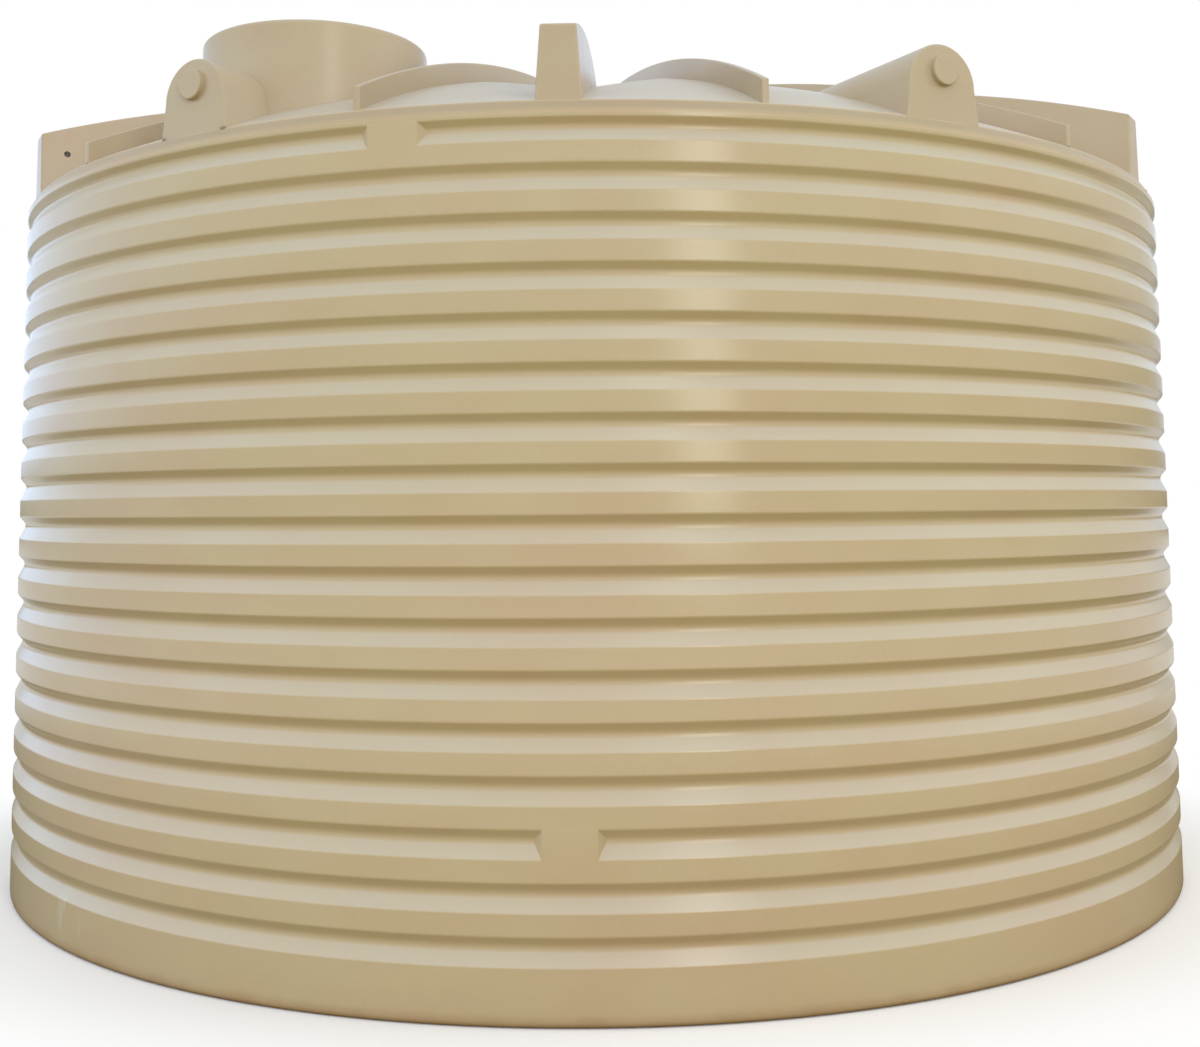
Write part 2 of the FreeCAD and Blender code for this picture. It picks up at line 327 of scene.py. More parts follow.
def added(add, name, **settings):
    """Add an object with nothing else selected, and name it."""
    clear_selection()
    add(**settings)
    bpy.context.object.name = name
    return bpy.context.object


def start_from(add, name, **settings):
    """Add a primitive and put its place into its mesh."""
    obj = added(add, name, **settings)
    apply_place(obj)
    return obj


def apply_modifier(obj, kind, **settings):
    only(obj)
    modifier = obj.modifiers.new(kind, kind)
    for name, value in settings.items():
        setattr(modifier, name, value)
    bpy.ops.object.modifier_apply(modifier=modifier.name)


def deselect_all(mesh):
    for parts in (mesh.polygons, mesh.edges, mesh.vertices):
        parts.foreach_set("select", np.zeros(len(parts), dtype=bool))


def pick(obj, test):
    """Select, in edit mode, the vertices whose places pass a test on arrays x, y and z."""
    only(obj)
    mesh = obj.data
    places = np.empty(len(mesh.vertices) * 3, dtype=np.float32)
    mesh.vertices.foreach_get("co", places)
    deselect_all(mesh)
    mesh.vertices.foreach_set("select", test(*places.reshape(-1, 3).T))
    set_mode("EDIT")
    bpy.ops.mesh.select_mode(type="VERT")


def round_edges(obj, test, radius, segments=3):
    """Bevel the edges whose two ends pass a test."""
    only(obj)
    mesh = obj.data
    ends = [[mesh.vertices[index].co for index in edge.vertices] for edge in mesh.edges]
    chosen = np.array([bool(test(a, b)) for a, b in ends])
    if not chosen.any():
        raise RuntimeError(f"no edge of {obj.name} was found to round")
    deselect_all(mesh)
    mesh.edges.foreach_set("select", chosen)
    bpy.context.tool_settings.mesh_select_mode = (False, True, False)
    set_mode("EDIT")
    bpy.ops.mesh.bevel(offset=radius, segments=segments, affect="EDGES", profile=0.5)
    set_mode("OBJECT")
    bpy.context.tool_settings.mesh_select_mode = (True, False, False)


def extrude(step):
    """Extrude what is selected, in edit mode."""
    bpy.ops.mesh.extrude_region_move(TRANSFORM_OT_translate={"value": step})


def face_outwards():
    select_mesh()
    bpy.ops.mesh.normals_make_consistent(inside=False)
    set_mode("OBJECT")


def rounded_line(corners):
    """Points along a line of (radius, level, rounding) corners, with the corners rounded."""
    points = []
    for index, (radius, level, rounding) in enumerate(corners):
        here = Vector((radius, level))
        if rounding == 0 or index in (0, len(corners) - 1):
            points.append(here)
            continue
        before = Vector(corners[index - 1][:2]) - here
        after = Vector(corners[index + 1][:2]) - here
        turn = math.pi - before.angle(after)
        most = ROUNDING_SHARE * min(before.length, after.length)
        reach = min(rounding * math.tan(turn / 2), most)
        start = here + before.normalized() * reach
        end = here + after.normalized() * reach
        segments = max(2, round(rounding / ROUNDING_STEP))
        for step in range(segments + 1):
            part = step / segments
            points.append(start * (1 - part) ** 2 + here * 2 * part * (1 - part) + end * part ** 2)
    return points


def lathe(name, points, steps, axis_place=(0.0, 0.0)):
    """Draw a line of (radius, level) points from a single vertex, and turn it about an upright axis."""
    obj = start_from(bpy.ops.mesh.primitive_plane_add, name, size=1)
    set_mode("EDIT")
    bpy.ops.mesh.merge(type="CENTER")
    bpy.ops.transform.translate(value=(points[0].x, 0, points[0].y))
    for last, here in zip(points, points[1:]):
        step = here - last
        bpy.ops.mesh.extrude_vertices_move(TRANSFORM_OT_translate={"value": (step.x, 0, step.y)})
    select_mesh()
    bpy.ops.mesh.spin(steps=steps, angle=2 * math.pi, center=(0, 0, 0), axis=(0, 0, 1))
    select_mesh()
    bpy.ops.mesh.remove_doubles(threshold=MERGE)
    face_outwards()
    obj.location = (*axis_place, 0)
    apply_place(obj)
    return obj


def discard(obj):
    mesh = obj.data
    bpy.data.objects.remove(obj)
    bpy.data.meshes.remove(mesh)


def carve(obj, cutter):
    """Cut one shape out of another, and throw the cutter away."""
    apply_modifier(obj, "BOOLEAN", operation="DIFFERENCE", solver="MANIFOLD", object=cutter)
    discard(cutter)
    if len(obj.data.polygons) == 0:
        raise RuntimeError(f"nothing is left of {obj.name} after it was carved")


def disc(name, vertices, radius, place):
    """A flat disc across the X axis, all selected in edit mode."""
    obj = start_from(bpy.ops.mesh.primitive_circle_add, name, vertices=vertices, radius=radius,
                     fill_type="NGON", location=place, rotation=(0, math.pi / 2, 0))
    set_mode("EDIT")
    select_mesh()
    return obj


def turned_copy(obj, name, bearing):
    """A copy, with its own mesh, of a piece drawn along +X, turned to a bearing."""
    only(obj)
    bpy.ops.object.duplicate()
    copy = bpy.context.object
    copy.name = name
    turn_upright(copy, bearing - 90)
    return copy


def bearings(first, number):
    """Bearings of like pieces that stand evenly round the roof, with their numbers from 1."""
    return [(index + 1, first + index * 360 / number) for index in range(number)]


def segment_names(kind):
    """Names of the solids that one turned piece stands for."""
    return [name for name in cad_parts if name.startswith(kind)]


def complete(obj, material, nodes, smooth_angle=30):
    """Finish a piece: shading, material, the nodes it stands for and what carries it."""
    only(obj)
    bpy.ops.object.shade_smooth_by_angle(angle=math.radians(smooth_angle))
    apply_modifier(obj, "WEIGHTED_NORMAL", keep_sharp=True)
    obj.data.materials.clear()
    obj.data.materials.append(material)
    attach(obj, BODY)
    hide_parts(*nodes)


def groove_levels(shape, number):
    """Lower edge, floor's two levels and upper edge of a groove, from 1; the highest is squeezed."""
    low = shape.skirt_height + (number - 1) * shape.groove_pitch
    full = shape.groove_shoulder + shape.groove_floor + shape.groove_brow
    squeeze = min(1.0, (shape.wall_top - shape.rim_lip - low) / full)
    floor_low = low + squeeze * shape.groove_shoulder
    floor_high = floor_low + squeeze * shape.groove_floor
    high = floor_high + squeeze * shape.groove_brow
    return low, floor_low, floor_high, high


def wall_outline(shape, inset):
    """One side of the wall's section, upwards; a groove's two faces meet in a soft hollow."""
    crest = shape.crest_radius - inset
    shoulder_slope = shape.groove_depth / shape.groove_shoulder
    brow_slope = shape.groove_depth / shape.groove_brow
    meeting = shape.groove_floor * brow_slope / (shoulder_slope + brow_slope)
    floor = crest - shape.groove_depth - meeting * shoulder_slope
    corners = [(shape.crest_radius - shape.base_corner, inset, 0), (crest, inset, shape.base_corner - inset)]
    for number in range(1, shape.groove_count + 1):
        low, floor_low, _, high = groove_levels(shape, number)
        corners.append((crest, low, 0 if inset else shape.crest_rounding))
        corners.append((floor, floor_low + meeting, 0 if inset else shape.floor_rounding))
        corners.append((crest, high, 0 if inset else shape.crest_rounding))
    corners.append((crest, shape.wall_top, 0))
    return rounded_line(corners)


def raise_pad(wall, shape, number, bearing):
    """Bring a groove out to the crests over a pad, with flat ends that slope into the groove."""
    turn_upright(wall, -bearing)
    low, floor_low, floor_high, high = groove_levels(shape, number)
    crest = shape.crest_radius
    half = shape.pad_width / 2
    reach = half + shape.pad_end_run
    slope = shape.groove_depth / shape.pad_end_run
    front = -math.sqrt(crest ** 2 - half ** 2)
    window = reach + half
    margin = shape.crest_rounding
    slack = 3 * TOUCH

    def in_groove(x, y, z):
        floor = np.interp(z, (low, floor_low, floor_high, high), (0, 1, 1, 0)) * shape.groove_depth
        outside = np.hypot(x, y) > crest - floor - shape.wall_thickness / 2
        return outside & (y < 0) & (z > low - margin) & (z < high + margin)

    def pad_face(place):
        if abs(place) <= half:
            return -math.sqrt(crest ** 2 - place ** 2)
        return front + (abs(place) - half) * slope

    for side in (-1, 1):
        for normal in ((1, 0, 0), (side * slope, -1, 0)):
            pick(wall, lambda x, y, z: in_groove(x, y, z) & (abs(x) < window))
            bpy.ops.mesh.bisect(plane_co=(side * half, front, 0), plane_no=normal)
    pick(wall, lambda x, y, z: in_groove(x, y, z) & (abs(x) < reach))
    set_mode("OBJECT")
    chosen = [vertex.co for vertex in wall.data.vertices if vertex.select]
    across = sorted({round(co.x, 5) for co in chosen if co.y > pad_face(co.x) + slack})
    for place in across:
        face = pad_face(place)
        pick(wall, lambda x, y, z: in_groove(x, y, z) & (abs(x - place) < 2 * MERGE) & (y > face + slack))
        bpy.ops.transform.resize(value=(1, 0, 1), center_override=(place, face, 0))
    turn_upright(wall, bearing)


def roof_outline(shape, inset):
    """One side of the roof's section, from the crown to the joint with the wall."""
    edge = shape.crest_radius - inset
    radius = dome_radius(shape) - inset
    steepest = math.asin((rim_radius(shape) - inset) / radius)
    corners = []
    for angle in np.linspace(0, steepest, DOME_RINGS + 1):
        away = radius * math.sin(angle)
        corners.append((away, dome_level(shape, away, inset), 0))
    rim, level = corners.pop()[:2]
    corners.append((rim, level, 0 if inset else shape.rim_rounding))
    corners.append((edge, shape.wall_top + shape.rim_lip, 0 if inset else shape.band_rounding))
    corners.append((edge, shape.wall_top, 0))
    return rounded_line(corners)


def sink_troughs(obj, shape):
    """Let the dome dip in a shallow trough along each fin, deepest between rim and crown."""
    spacing = 360 / shape.fin_count
    group = obj.vertex_groups.new(name="fin_troughs")
    for vertex in obj.data.vertices:
        x, y, z = vertex.co
        reach = math.hypot(x, y) / rim_radius(shape)
        bearing = math.degrees(math.atan2(x, -y))
        off = abs((bearing + spacing / 2) % spacing - spacing / 2)
        weight = max(0.0, 1 - off / shape.trough_half_angle) * 4 * reach ** 2 * max(0.0, 1 - reach ** 2)
        if weight > 0 and z > shape.wall_top:
            group.add([vertex.index], weight, "REPLACE")
    apply_modifier(obj, "DISPLACE", direction="Z", mid_level=0, strength=-shape.trough_depth,
                   vertex_group=group.name)
    obj.vertex_groups.clear()


def seat_on_dome(obj, shape, turn=0.0):
    """Cut away what is under the dome, a little lower than it, so that a fitting is sunk in it."""
    rim_edge = rim_level(shape) - shape.rim_rounding
    outline = [point for point in roof_outline(shape, 0) if point.y >= rim_edge][:-1]
    foot = rim_level(shape) - 3 * shape.dome_rise
    outline += [Vector((outline[-1].x, foot)), Vector((0, foot))]
    block = lathe("dome_block", outline, LATHE_STEPS)
    sink_troughs(block, shape)
    block.location.z = -shape.sink
    turn_upright(block, turn)
    carve(obj, block)


def neck_column(shape, radius):
    """Cutter: an upright column on the neck's axis."""
    return start_from(bpy.ops.mesh.primitive_cylinder_add, "neck_column", vertices=NECK_STEPS,
                      radius=radius, depth=2 * shape.dome_rise,
                      location=(neck_place.x, neck_place.y, rim_level(shape)))


def swept_fin(name, path, depth, width_at_top, width_at_foot, rounding):
    """A face across the X axis, swept upright along a path of (x, z) places, with rounded edges."""
    outer, top = path[0]
    obj = start_from(bpy.ops.mesh.primitive_plane_add, name, size=depth,
                     location=(outer, 0, top - depth / 2), rotation=(0, math.pi / 2, 0))
    for level, width in ((top, width_at_top), (top - depth, width_at_foot)):
        pick(obj, lambda x, y, z: abs(z - level) < depth / 2)
        bpy.ops.transform.resize(value=(1, width / depth, 1), center_override=(outer, 0, level))
    select_mesh()
    for last, here in zip(path, path[1:]):
        extrude((here[0] - last[0], 0, here[1] - last[1]))
    face_outwards()
    inwards = np.array(path[::-1])

    def crest_or_end(a, b):
        at_top = [abs(np.interp(end.x, *inwards.T) - end.z) < 10 * TOUCH for end in (a, b)]
        at_end = min(a.x, b.x) > outer - TOUCH
        across_foot = abs(a.z - b.z) < TOUCH and not all(at_top)
        return (all(at_top) and abs(a.x - b.x) > 10 * TOUCH) or (at_end and not across_foot)

    round_edges(obj, crest_or_end, rounding)
    return obj


def fin_crest(shape):
    """Places along a fin's bowed top edge, from its outer end to its sunk tip."""
    tip = rim_radius(shape) - shape.fin_length
    outer = Vector((rim_radius(shape), rim_level(shape) + shape.fin_height))
    inner = Vector((tip, dome_level(shape, tip) - shape.wall_thickness))
    chord = inner - outer
    radius = ((chord.length / 2) ** 2 + shape.fin_crest_bulge ** 2) / (2 * shape.fin_crest_bulge)
    down = Vector((-chord.y, chord.x)).normalized()
    centre = (outer + inner) / 2 + down * (radius - shape.fin_crest_bulge)
    start = math.atan2(outer.y - centre.y, outer.x - centre.x)
    end = math.atan2(inner.y - centre.y, inner.x - centre.x)
    angles = np.linspace(start, end, FIN_STATIONS + 1)
    return [(centre.x + radius * math.cos(angle), centre.y + radius * math.sin(angle)) for angle in angles]


def rib_crest(shape):
    """Places along a rib's top edge, over the dome from the rim inwards."""
    radii = np.linspace(rim_radius(shape), shape.rib_crown_radius, RIB_STATIONS + 1)
    return [(radius, dome_level(shape, radius) + shape.rib_height) for radius in radii]


class TANK_OT_make_wall(bpy.types.Operator):
    """Turn the corrugated wall and raise its two flush pads"""
    bl_idname = "tank.make_wall"
    bl_label = "Make Wall"

    def execute(self, context):
        shape = shape_of()
        outer = wall_outline(shape, 0)
        inner = wall_outline(shape, shape.wall_thickness)
        wall = lathe("tank_wall", outer + inner[::-1] + outer[:1], LATHE_STEPS)
        raise_pad(wall, shape, shape.outlet_pad_groove, shape.outlet_pad_bearing)
        raise_pad(wall, shape, shape.overflow_pad_groove, shape.overflow_pad_bearing)
        complete(wall, wall_material(), segment_names("wall_segment"), smooth_angle=35)
        return {"FINISHED"}


class TANK_OT_make_roof(bpy.types.Operator):
    """Turn the domed roof, sink a trough along each fin and cut the inlet's hole"""
    bl_idname = "tank.make_roof"
    bl_label = "Make Roof"

    def execute(self, context):
        shape = shape_of()
        outline = roof_outline(shape, 0) + roof_outline(shape, shape.wall_thickness)[::-1]
        roof = lathe("tank_roof", outline, LATHE_STEPS)
        sink_troughs(roof, shape)
        carve(roof, neck_column(shape, neck_radius - shape.wall_thickness))
        complete(roof, roof_material(), segment_names("roof_segment"), smooth_angle=40)
        return {"FINISHED"}


class TANK_OT_make_fins(bpy.types.Operator):
    """Sweep one lifting fin, seat it on the dome, copy it round the roof and drill the last"""
    bl_idname = "tank.make_fins"
    bl_label = "Make Fins"

    def execute(self, context):
        shape = shape_of()
        depth = shape.fin_height + 2 * shape.wall_thickness
        draft = (shape.fin_width_at_rim - shape.fin_width_at_top) / shape.fin_height
        pattern = swept_fin("fin_pattern", fin_crest(shape), depth, shape.fin_width_at_top,
                            shape.fin_width_at_top + draft * depth, shape.fin_edge_rounding)
        seat_on_dome(pattern, shape, 90)
        for number, bearing in bearings(0.0, shape.fin_count):
            if number == shape.drilled_fin:
                self.drill(pattern, shape)
            fin = turned_copy(pattern, f"fin_{number}", bearing)
            complete(fin, fitting_material(), [f"lifting_fin_{number}"])
        discard(pattern)
        return {"FINISHED"}

    def drill(self, fin, shape):
        place = (rim_radius(shape) - shape.tie_hole_setback, 0, rim_level(shape) + shape.tie_hole_height)
        bit = start_from(bpy.ops.mesh.primitive_cylinder_add, "drill_bit", vertices=TIE_HOLE_STEPS,
                         radius=shape.tie_hole_diameter / 2, depth=2 * shape.fin_width_at_rim,
                         location=place, rotation=(math.pi / 2, 0, 0))
        carve(fin, bit)


class TANK_OT_make_lugs(bpy.types.Operator):
    """Model one lifting lug, seat it on the dome and copy it round the roof"""
    bl_idname = "tank.make_lugs"
    bl_label = "Make Lugs"

    def execute(self, context):
        shape = shape_of()
        barrel = self.barrel(shape)
        seat_on_dome(barrel, shape)
        neck_bearing = math.degrees(math.atan2(neck_place.x, -neck_place.y))
        for number, bearing in bearings(shape.lug_first_bearing, shape.lug_count):
            lug = turned_copy(barrel, f"lug_{number}", bearing)
            if abs((bearing - neck_bearing + 180) % 360 - 180) < 1:
                carve(lug, neck_column(shape, neck_radius - shape.sink))
            self.add_boss(lug, shape, bearing)
            complete(lug, fitting_material(), [f"lifting_lug_{number}"])
        discard(barrel)
        return {"FINISHED"}

    def barrel(self, shape):
        outer = rim_radius(shape)
        crown = shape.lug_crown_radius
        spring = rim_level(shape) + shape.lug_height - crown
        root = rim_level(shape) - 3 * shape.wall_thickness
        draft = (shape.lug_width_at_rim / 2 - crown) / (spring - rim_level(shape))
        half_root = crown + draft * (spring - root)
        obj = disc("lug_barrel", LUG_STEPS, crown, (outer, 0, spring))
        bpy.ops.mesh.bisect(plane_co=(0, 0, spring), plane_no=(0, 0, 1), clear_inner=True)
        pick(obj, lambda x, y, z: abs(z - spring) < TOUCH)
        extrude((0, 0, root - spring))
        bpy.ops.transform.resize(value=(1, half_root / crown, 1), center_override=(outer, 0, root))
        select_mesh()
        bpy.ops.mesh.dissolve_faces()
        select_mesh()
        extrude((-outer / 2, 0, 0))
        face_outwards()

        def outline_edge(a, b):
            return min(a.x, b.x) > outer - TOUCH and max(a.z, b.z) >= root + TOUCH

        round_edges(obj, outline_edge, shape.lug_edge_rounding)
        return obj

    def add_boss(self, lug, shape, bearing):
        face = rim_radius(shape) - shape.sink
        front = rim_radius(shape) + shape.boss_projection
        place = (face, 0, rim_level(shape) + shape.boss_height)
        boss = disc("boss", BOSS_STEPS, shape.boss_diameter / 2, place)
        extrude((front - face, 0, 0))
        face_outwards()
        round_edges(boss, lambda a, b: min(a.x, b.x) > front - TOUCH, shape.boss_edge_rounding)
        turn_upright(boss, bearing - 90)
        only(lug)
        boss.select_set(True)
        bpy.ops.object.join()


class TANK_OT_make_ribs(bpy.types.Operator):
    """Sweep one roof rib, seat it on the dome and copy it round the roof"""
    bl_idname = "tank.make_ribs"
    bl_label = "Make Ribs"

    def execute(self, context):
        shape = shape_of()
        depth = shape.rib_height + 2 * shape.wall_thickness
        pattern = swept_fin("rib_pattern", rib_crest(shape), depth, shape.rib_thickness,
                            shape.rib_thickness, shape.rib_edge_rounding)
        seat_on_dome(pattern, shape, 90 - shape.rib_first_bearing)
        for number, bearing in bearings(shape.rib_first_bearing, shape.rib_count):
            rib = turned_copy(pattern, f"rib_{number:02d}", bearing)
            complete(rib, fitting_material(), [f"roof_rib_{number:02d}"])
        discard(pattern)
        return {"FINISHED"}


class TANK_OT_make_neck(bpy.types.Operator):
    """Turn the inlet neck and seat it on the dome"""
    bl_idname = "tank.make_neck"
    bl_label = "Make Neck"

    def execute(self, context):
        shape = shape_of()
        top = neck_high.z
        root = neck_low.z - 5 * shape.wall_thickness
        outer = neck_radius
        inner = outer - shape.wall_thickness
        opening = shape.neck_opening_diameter / 2
        under = top - shape.wall_thickness
        edge = shape.neck_edge_rounding
        lip = shape.wall_thickness / 3
        outline = rounded_line([(outer, root, 0), (outer, top, edge), (opening, top, lip),
                                (opening, under, lip), (inner, under, edge - shape.wall_thickness),
                                (inner, root, 0)])
        neck = lathe("neck", outline + outline[:1], NECK_STEPS, neck_place[:2])
        seat_on_dome(neck, shape)
        complete(neck, fitting_material(), ["inlet_neck"], smooth_angle=40)
        return {"FINISHED"}


class TANK_OT_finish_floor(bpy.types.Operator):
    """Give the tank's floor its plastic finish"""
    bl_idname = "tank.finish_floor"
    bl_label = "Finish Floor"

    def execute(self, context):
        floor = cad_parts["tank_floor"]
        floor.data.materials.clear()
        floor.data.materials.append(fitting_material())
        return {"FINISHED"}


class TANK_OT_make_stage(bpy.types.Operator):
    """Set the floor, the lamps, the world and the camera"""
    bl_idname = "tank.make_stage"
    bl_label = "Make Stage"

    def execute(self, context):
        stage = context.scene.tank_stage
        context.scene.view_settings.view_transform = "Standard"
        floor = start_from(bpy.ops.mesh.primitive_plane_add, "studio_floor", size=stage.floor_size,
                           location=(0, 0, -FLOOR_DROP))
        floor.data.materials.append(floor_material(stage))
        context.scene.world = overcast_world()
        for lamp in LAMPS:
            area_lamp(*lamp)
        context.scene.camera = photo_camera()
        return {"FINISHED"}


def photo_camera():
    """The camera, turned by its bearing and yaw, then its pitch, then its roll."""
    heading = math.radians(CAMERA_BEARING)
    place = (CAMERA_DISTANCE * math.sin(heading), -CAMERA_DISTANCE * math.cos(heading), CAMERA_HEIGHT)
    camera = added(bpy.ops.object.camera_add, "photo_camera", location=place)
    turns = ((CAMERA_BEARING + CAMERA_YAW, "Z"), (CAMERA_PITCH, "X"), (CAMERA_ROLL, "Y"), (90, "X"))
    turn = Matrix.Identity(3)
    for angle, axis in turns:
        turn = turn @ Matrix.Rotation(math.radians(angle), 3, axis)
    camera.rotation_euler = turn.to_euler()
    camera.data.sensor_fit = "HORIZONTAL"
    camera.data.sensor_width = 36
    camera.data.lens = CAMERA_LENS
    camera.data.shift_y = CAMERA_SHIFT
    camera.data.clip_end = 200
    return camera


def area_lamp(name, place, target, size, power, tint, mirrored):
    """A rectangular soft lamp aimed at a point; only some are mirrored in the plastic."""
    lamp = added(bpy.ops.object.light_add, name, type="AREA", location=place)
    lamp.data.shape = "RECTANGLE"
    lamp.data.size, lamp.data.size_y = size
    lamp.data.energy = power
    lamp.data.color = tint
    lamp.visible_glossy = mirrored
    lamp.rotation_euler = (Vector(target) - Vector(place)).to_track_quat("-Z", "Y").to_euler()


def put(tree, value, socket):
    """Feed a socket from another socket, or set it to a number, vector or colour."""
    if isinstance(value, bpy.types.NodeSocket):
        tree.links.new(value, socket)
    elif hasattr(value, "__len__"):
        socket.default_value = (*value, 1.0)[:len(socket.default_value)]
    else:
        socket.default_value = value


def make(tree, kind, output, inputs=(), **settings):
    """Add a node, put pairs of socket and value into it, and give one of its outputs."""
    node = tree.nodes.new(kind)
    for name, value in settings.items():
        setattr(node, name, value)
    for socket, value in inputs:
        put(tree, value, node.inputs[socket])
    return node.outputs[output]


def blend_range(tree, value, low, high, at_low=0.0, at_high=1.0):
    """A value that runs smoothly from one number to another while the input crosses a range."""
    names = ("Value", "From Min", "From Max", "To Min", "To Max")
    inputs = zip(names, (value, low, high, at_low, at_high))
    return make(tree, "ShaderNodeMapRange", "Result", inputs, interpolation_type="SMOOTHSTEP")


def ramp(tree, value, stops):
    result = make(tree, "ShaderNodeValToRGB", "Color", [("Fac", value)])
    elements = result.node.color_ramp.elements
    while len(elements) < len(stops):
        elements.new(0.5)
    for element, (position, tint) in zip(elements, stops):
        element.position = position
        element.color = (*tint, 1)
    return result


def mix_colour(tree, factor, first, second, blend="MIX"):
    inputs = ((0, factor), (6, first), (7, second))
    return make(tree, "ShaderNodeMix", 2, inputs, data_type="RGBA", blend_type=blend)


def mix_shader(tree, factor, first, second):
    return make(tree, "ShaderNodeMixShader", "Shader", enumerate((factor, first, second)))


def arithmetic(tree, operation, first, second, clamp=False):
    inputs = enumerate((first, second))
    return make(tree, "ShaderNodeMath", "Value", inputs, operation=operation, use_clamp=clamp)


def times(tree, first, second):
    return arithmetic(tree, "MULTIPLY", first, second)


def measure(tree, operation, vector, other=(0.0, 0.0, 0.0)):
    """A length, distance or dot product of a vector."""
    return make(tree, "ShaderNodeVectorMath", "Value", enumerate((vector, other)), operation=operation)


def split(tree, vector):
    """The X, Y and Z of a vector."""
    return make(tree, "ShaderNodeSeparateXYZ", "X", [("Vector", vector)]).node.outputs


def object_place(tree):
    return make(tree, "ShaderNodeTexCoord", "Object")


def noise(tree, scale, detail, stretch=(1, 1, 1)):
    """Noise on object coordinates, which are stretched first."""
    inputs = (("Vector", object_place(tree)), ("Scale", stretch))
    place = make(tree, "ShaderNodeMapping", "Vector", inputs)
    inputs = (("Vector", place), ("Scale", scale), ("Detail", detail), ("Roughness", 0.5))
    return make(tree, "ShaderNodeTexNoise", "Fac", inputs)


def emptied_tree(owner):
    """The node tree of a new material or world, with nothing in it."""
    owner.use_nodes = True
    owner.node_tree.nodes.clear()
    return owner.node_tree


def coloured(tree, kind, tint, **inputs):
    """A plain shader of one colour."""
    return make(tree, kind, 0, (("Color", tint), *inputs.items()))


def sky_patch(tree, direction, towards, side, rise, fall, amount):
    """Mask of a part of the sky on one side, between two heights, each with a soft edge."""
    height = split(tree, direction)["Z"]
    mask = blend_range(tree, measure(tree, "DOT_PRODUCT", direction, towards), *side, 0.0, amount)
    mask = times(tree, mask, blend_range(tree, height, *rise))
    return times(tree, mask, blend_range(tree, height, *fall, 1.0, 0.0))


def overcast_world():
    """Soft sky that lights the tank, shown as plain white behind it."""
    world = bpy.data.worlds.new("Overcast")
    tree = emptied_tree(world)
    direction = make(tree, "ShaderNodeTexCoord", "Generated")
    gradient = ramp(tree, blend_range(tree, split(tree, direction)["Z"], *SKY_RISE), SKY_STOPS)
    blue = 0.0
    for patch in BLUE_SKY_PATCHES:
        blue = arithmetic(tree, "MAXIMUM", sky_patch(tree, direction, *patch), blue)
    lit = mix_colour(tree, blue, gradient, BLUE_SKY)
    sky = coloured(tree, "ShaderNodeBackground", lit, Strength=SKY_STRENGTH)
    white = coloured(tree, "ShaderNodeBackground", (1, 1, 1))
    seen = make(tree, "ShaderNodeLightPath", "Is Camera Ray")
    output = tree.nodes.new("ShaderNodeOutputWorld")
    put(tree, mix_shader(tree, seen, sky, white), output.inputs["Surface"])
    return world


def floor_material(stage):
    """Pale floor that fades to white, with duller ones for what it lights and what mirrors it."""
    fade_starts, fade_ends = 1.76, 2.45
    mirror_starts, mirror_ends = 2.8, 7.0
    material = bpy.data.materials.new("Pale studio floor")
    tree = emptied_tree(material)
    away = measure(tree, "LENGTH", object_place(tree))
    far = blend_range(tree, away, fade_starts, fade_ends)
    pale = coloured(tree, "ShaderNodeBsdfDiffuse", stage.floor_pale)
    shown = mix_shader(tree, far, pale, coloured(tree, "ShaderNodeEmission", (1, 1, 1)))
    distant = blend_range(tree, away, mirror_starts, mirror_ends)
    mirrored = mix_colour(tree, distant, stage.floor_mirror, stage.floor_pale)
    mirrored = coloured(tree, "ShaderNodeBsdfDiffuse", mirrored)
    bounce = coloured(tree, "ShaderNodeBsdfDiffuse", stage.floor_bounce)
    unseen = mix_shader(tree, make(tree, "ShaderNodeLightPath", "Is Glossy Ray"), bounce, mirrored)
    seen = make(tree, "ShaderNodeLightPath", "Is Camera Ray")
    output = tree.nodes.new("ShaderNodeOutputMaterial")
    put(tree, mix_shader(tree, seen, unseen, shown), output.inputs["Surface"])
    return material


def new_group(name, outputs, kind="NodeSocketFloat"):
    """A shader node group with named outputs; gives its tree and the sockets to feed."""
    group = bpy.data.node_groups.new(name, "ShaderNodeTree")
    for label in outputs:
        group.interface.new_socket(label, in_out="OUTPUT", socket_type=kind)
    return group, group.nodes.new("NodeGroupOutput").inputs


def colour_group():
    """Colour of the moulded plastic: broad and fine blotches, paler and warmer, and a faint grain."""
    finish = finish_of()
    group, made = new_group("Moulded Colour", ["Color"], "NodeSocketColor")
    broad = noise(group, scale=1.1, detail=2.0, stretch=(1, 1, 1.6))
    fine = noise(group, scale=4.0, detail=1.0, stretch=(1, 1, 2.0))
    speck = noise(group, scale=90.0, detail=1.0)
    warm = blend_range(group, broad, 0.35, 0.65)
    pale = blend_range(group, fine, 0.30, 0.75, 0.0, 0.7)
    tint = mix_colour(group, warm, finish.plastic, finish.plastic_warm)
    tint = mix_colour(group, pale, tint, finish.plastic_pale)
    grain = blend_range(group, speck, 0.2, 0.8, 0.990, 1.010)
    tint = make(group, "ShaderNodeHueSaturation", "Color", (("Color", tint), ("Value", grain)))
    put(group, tint, made["Color"])
    return group


def bloom_and_sky_light_group():
    """Mask of chalk and painted sky light: faces that look up, broken by patches."""
    group, made = new_group("Chalk And Painted Sky Light", ["Mask"])
    for label in ("Amount", "Least Tilt", "Full Tilt"):
        group.interface.new_socket(label, in_out="INPUT", socket_type="NodeSocketFloat")
    given = group.nodes.new("NodeGroupInput").outputs
    facing = split(group, make(group, "ShaderNodeNewGeometry", "Normal"))["Z"]
    upward = blend_range(group, facing, given["Least Tilt"], given["Full Tilt"])
    patches = noise(group, scale=3.0, detail=2.0, stretch=(1, 1, 0.6))
    mask = times(group, upward, blend_range(group, patches, 0.25, 0.75, 0.80, 1.0))
    put(group, arithmetic(group, "MULTIPLY", mask, given["Amount"], clamp=True), made["Mask"])
    return group


